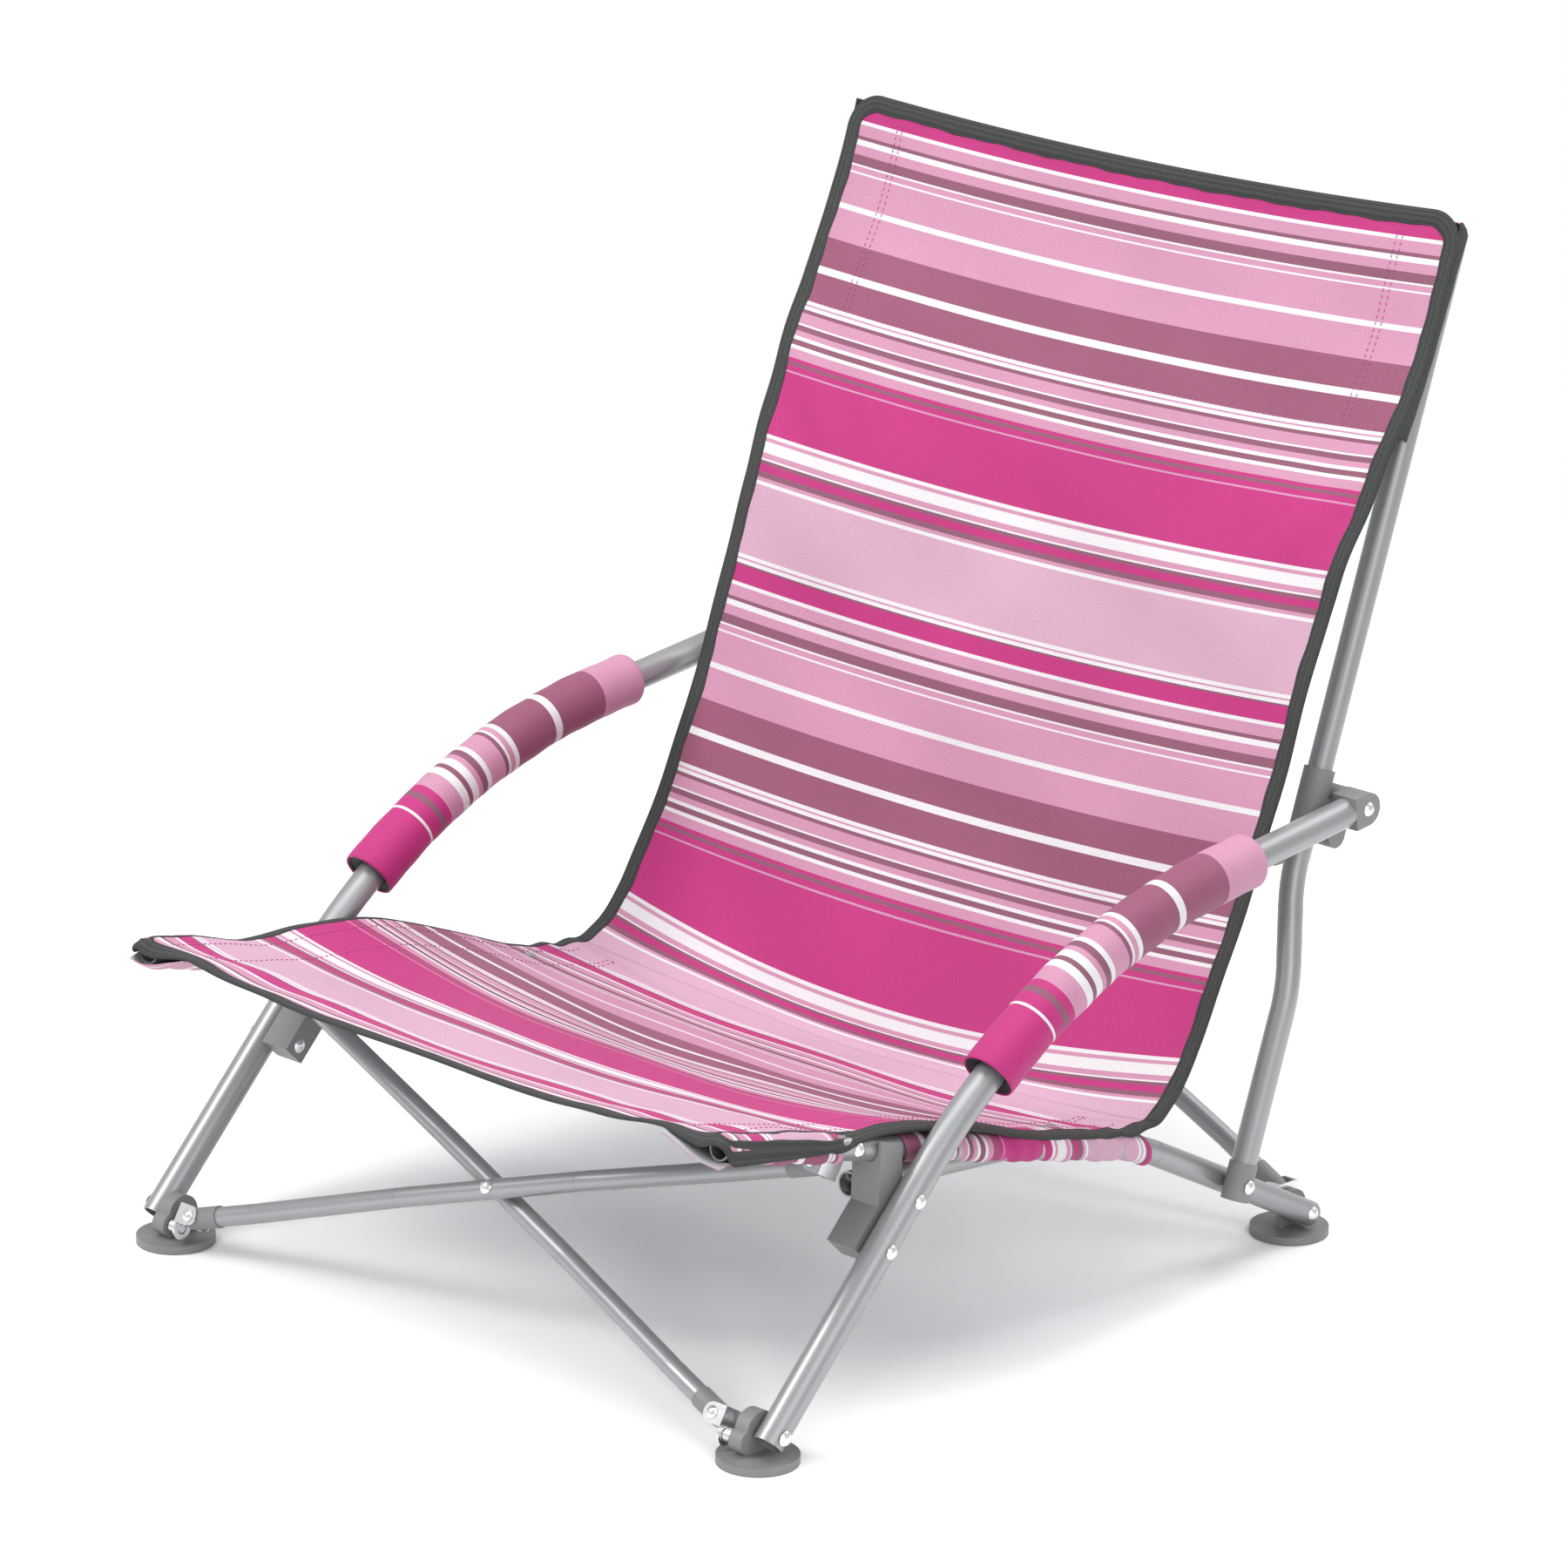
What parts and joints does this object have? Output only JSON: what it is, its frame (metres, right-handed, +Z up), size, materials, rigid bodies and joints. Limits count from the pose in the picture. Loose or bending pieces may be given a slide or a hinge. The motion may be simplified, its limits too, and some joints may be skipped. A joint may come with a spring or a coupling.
{
  "type": "folding camp chair",
  "caption": "Low folding camp chair with a one-piece striped fabric sling, padded arms and two crossed tube frames that let its sides fold together.",
  "frame": {"origin": "on the floor under the middle of the open chair", "axes": "+Z up, the chair faces -Y, +X to its right-hand side as seen from the front"},
  "size_m": [0.571, 0.6686, 0.642],
  "materials": {
    "frame_paint": "satin silver-gray powder coat",
    "gray_plastic": "matte mid-gray moulded plastic",
    "bright_steel": "bright nickel-plated steel",
    "striped_cloth": "woven polyester with pink, magenta, mauve, plum and white cross stripes"
  },
  "bodies": {
    "front_foot_right": {"front_foot_right": "gray_plastic", "foot_pins_right": "bright_steel", "foot_spring_right": "bright_steel"},
    "arm_right": {"arm_tube_right": "frame_paint", "arm_end_cap_right": "gray_plastic", "arm_sleeve_right": "striped_cloth", "saddle_right": "gray_plastic", "arm_rivets_right": "bright_steel"},
    "link_right": {"link_tube_right": "frame_paint"},
    "rail_right": {"seat_rail_right": "frame_paint", "rail_sleeve_right": "striped_cloth", "rail_pins_right": "bright_steel", "seat_sling": "striped_cloth"},
    "post_right": {"back_post_right": "frame_paint", "post_foot_right": "gray_plastic", "stop_screw_right": "bright_steel", "back_sling": "striped_cloth"},
    "slider_right": {"slider_right": "gray_plastic"},
    "rear_foot_right": {"rear_foot_right": "gray_plastic"},
    "front_lug_low_right": {"front_lug_low_right": "bright_steel"},
    "front_lug_up_right": {"front_lug_up_right": "bright_steel"},
    "rear_lug_low_right": {"rear_lug_low_right": "bright_steel"},
    "rear_lug_up_right": {"rear_lug_up_right": "bright_steel"},
    "front_foot_left": {"front_foot_left": "gray_plastic", "foot_pins_left": "bright_steel", "foot_spring_left": "bright_steel"},
    "arm_left": {"arm_tube_left": "frame_paint", "arm_end_cap_left": "gray_plastic", "arm_sleeve_left": "striped_cloth", "saddle_left": "gray_plastic", "arm_rivets_left": "bright_steel"},
    "link_left": {"link_tube_left": "frame_paint"},
    "rail_left": {"seat_rail_left": "frame_paint", "rail_sleeve_left": "striped_cloth", "rail_pins_left": "bright_steel"},
    "post_left": {"back_post_left": "frame_paint", "post_foot_left": "gray_plastic", "stop_screw_left": "bright_steel"},
    "slider_left": {"slider_left": "gray_plastic"},
    "rear_foot_left": {"rear_foot_left": "gray_plastic"},
    "front_lug_low_left": {"front_lug_low_left": "bright_steel"},
    "front_lug_up_left": {"front_lug_up_left": "bright_steel"},
    "rear_lug_low_left": {"rear_lug_low_left": "bright_steel"},
    "rear_lug_up_left": {"rear_lug_up_left": "bright_steel"},
    "front_tube_a": {"front_tube_a": "frame_paint", "front_caps_a": "gray_plastic", "front_rivets_a": "bright_steel"},
    "front_tube_b": {"front_tube_b": "frame_paint", "front_caps_b": "gray_plastic", "front_rivets_b": "bright_steel"},
    "rear_tube_a": {"rear_tube_a": "frame_paint", "rear_caps_a": "gray_plastic", "rear_rivets_a": "bright_steel"},
    "rear_tube_b": {"rear_tube_b": "frame_paint", "rear_caps_b": "gray_plastic", "rear_rivets_b": "bright_steel"}
  },
  "joints": [
    {"name": "lug_front_low_right", "type": "hinge", "parent": "front_foot_right", "child": "front_lug_low_right", "pos_m": [0.24, -0.311, 0.015], "axis": [1, 0, 0], "range_deg": [0, 27.02]},
    {"name": "fold", "type": "hinge", "parent": "front_lug_low_right", "child": "front_tube_b", "pos_m": [0.228, -0.30631, 0.02268], "axis": [0, 0.8535, -0.521], "range_deg": [0, 55.44]},
    {"name": "front_crossing", "type": "hinge", "parent": "front_tube_b", "child": "front_tube_a", "pos_m": [0, -0.26496, 0.09042], "axis": [0, -0.8535, 0.521], "range_deg": [0, 110.89]},
    {"name": "clevis_front_low_left", "type": "hinge", "parent": "front_tube_a", "child": "front_lug_low_left", "pos_m": [-0.228, -0.30631, 0.02268], "axis": [0, 0.8535, -0.521], "range_deg": [0, 55.46]},
    {"name": "clevis_front_up_left", "type": "hinge", "parent": "front_tube_b", "child": "front_lug_up_left", "pos_m": [-0.228, -0.22362, 0.15815], "axis": [0, -0.8535, 0.521], "range_deg": [0, 55.46]},
    {"name": "clevis_front_up_right", "type": "hinge", "parent": "front_tube_a", "child": "front_lug_up_right", "pos_m": [0.228, -0.22362, 0.15815], "axis": [0, 0.8535, -0.521], "range_deg": [0, 55.46]},
    {"name": "arm_right", "type": "hinge", "parent": "front_foot_right", "child": "arm_right", "pos_m": [0.25, -0.301, 0.02], "axis": [1, 0, 0], "range_deg": [0, 52.02]},
    {"name": "link_right", "type": "hinge", "parent": "arm_right", "child": "link_right", "pos_m": [0.2258, -0.1865, 0.13652], "axis": [1, 0, 0], "range_deg": [0, 6.71]},
    {"name": "rail_right", "type": "hinge", "parent": "link_right", "child": "rail_right", "pos_m": [0.235, -0.0249, 0.12064], "axis": [1, 0, 0], "range_deg": [-119.68, 0], "deforming": ["seat_sling"]},
    {"name": "post_right", "type": "hinge", "parent": "rail_right", "child": "post_right", "pos_m": [0.258, 0.118, 0.06242], "axis": [1, 0, 0], "range_deg": [0, 81.34], "deforming": ["back_sling"]},
    {"name": "slider_right", "type": "slide", "parent": "post_right", "child": "slider_right", "axis": [0, 0.342, 0.9397], "range_m": [0, 0.19049]},
    {"name": "rear_foot_right", "type": "hinge", "parent": "rail_right", "child": "rear_foot_right", "pos_m": [0.235, 0.203, 0.01703], "axis": [1, 0, 0], "range_deg": [0, 60.99]},
    {"name": "lug_rear_low_right", "type": "hinge", "parent": "rail_right", "child": "rear_lug_low_right", "pos_m": [0.232, 0.203, 0.01703], "axis": [1, 0, 0], "range_deg": [0, 61.42]},
    {"name": "arm_left", "type": "hinge", "parent": "front_lug_low_left", "child": "arm_left", "pos_m": [-0.24, -0.28894, 0.02012], "axis": [1, 0, 0], "range_deg": [0, 25.02]},
    {"name": "foot_front_left", "type": "hinge", "parent": "arm_left", "child": "front_foot_left", "pos_m": [-0.25, -0.301, 0.02], "axis": [1, 0, 0], "range_deg": [-52.02, 0]},
    {"name": "link_left", "type": "hinge", "parent": "arm_left", "child": "link_left", "pos_m": [-0.2258, -0.1865, 0.13652], "axis": [1, 0, 0], "range_deg": [0, 6.71]},
    {"name": "rail_left", "type": "hinge", "parent": "link_left", "child": "rail_left", "pos_m": [-0.235, -0.0249, 0.12064], "axis": [1, 0, 0], "range_deg": [-119.68, 0]},
    {"name": "post_left", "type": "hinge", "parent": "rail_left", "child": "post_left", "pos_m": [-0.258, 0.118, 0.06242], "axis": [1, 0, 0], "range_deg": [0, 81.34]},
    {"name": "slider_left", "type": "slide", "parent": "post_left", "child": "slider_left", "axis": [0, 0.342, 0.9397], "range_m": [0, 0.19049]},
    {"name": "rear_foot_left", "type": "hinge", "parent": "rail_left", "child": "rear_foot_left", "pos_m": [-0.235, 0.203, 0.01703], "axis": [1, 0, 0], "range_deg": [0, 60.99]},
    {"name": "lug_rear_low_left", "type": "hinge", "parent": "rail_left", "child": "rear_lug_low_left", "pos_m": [-0.232, 0.203, 0.01703], "axis": [1, 0, 0], "range_deg": [0, 61.42]},
    {"name": "clevis_rear_low_right", "type": "hinge", "parent": "rear_lug_low_right", "child": "rear_tube_b", "pos_m": [0.2237, 0.20333, 0.02602], "axis": [0, 0.9993, -0.0361], "range_deg": [0, 49.52]},
    {"name": "clevis_rear_low_left", "type": "hinge", "parent": "rear_lug_low_left", "child": "rear_tube_a", "pos_m": [-0.2237, 0.20333, 0.02602], "axis": [0, -0.9993, 0.0361], "range_deg": [0, 49.52]},
    {"name": "clevis_rear_up_left", "type": "hinge", "parent": "rear_tube_b", "child": "rear_lug_up_left", "pos_m": [-0.2237, 0.21146, 0.25101], "axis": [0, -0.9993, 0.0361], "range_deg": [0, 49.52]},
    {"name": "clevis_rear_up_right", "type": "hinge", "parent": "rear_tube_a", "child": "rear_lug_up_right", "pos_m": [0.2237, 0.21146, 0.25101], "axis": [0, 0.9993, -0.0361], "range_deg": [0, 49.52]}
  ],
  "couplings": [
    {"joint": "lug_front_low_right", "follows": "fold", "ratio": 0.48702},
    {"joint": "front_crossing", "follows": "fold", "ratio": 2},
    {"joint": "clevis_front_low_left", "follows": "fold", "ratio": 1},
    {"joint": "clevis_front_up_left", "follows": "fold", "ratio": 1},
    {"joint": "clevis_front_up_right", "follows": "fold", "ratio": 1},
    {"joint": "arm_right", "follows": "fold", "ratio": 0.93802},
    {"joint": "link_right", "follows": "fold", "ratio": 0.1207},
    {"joint": "rail_right", "follows": "fold", "ratio": -2.1585},
    {"joint": "post_right", "follows": "fold", "ratio": 1.4669},
    {"joint": "slider_right", "follows": "fold", "m_per_rad": 0.19668},
    {"joint": "rear_foot_right", "follows": "fold", "ratio": 1.0998},
    {"joint": "lug_rear_low_right", "follows": "fold", "ratio": 1.1075},
    {"joint": "arm_left", "follows": "fold", "ratio": 0.451},
    {"joint": "foot_front_left", "follows": "fold", "ratio": -0.93802},
    {"joint": "link_left", "follows": "fold", "ratio": 0.1207},
    {"joint": "rail_left", "follows": "fold", "ratio": -2.1585},
    {"joint": "post_left", "follows": "fold", "ratio": 1.4669},
    {"joint": "slider_left", "follows": "fold", "m_per_rad": 0.19668},
    {"joint": "rear_foot_left", "follows": "fold", "ratio": 1.0998},
    {"joint": "lug_rear_low_left", "follows": "fold", "ratio": 1.1075},
    {"joint": "clevis_rear_low_right", "follows": "fold", "ratio": 0.89285},
    {"joint": "clevis_rear_low_left", "follows": "fold", "ratio": 0.89285},
    {"joint": "clevis_rear_up_left", "follows": "fold", "ratio": 0.89285},
    {"joint": "clevis_rear_up_right", "follows": "fold", "ratio": 0.89285}
  ]
}
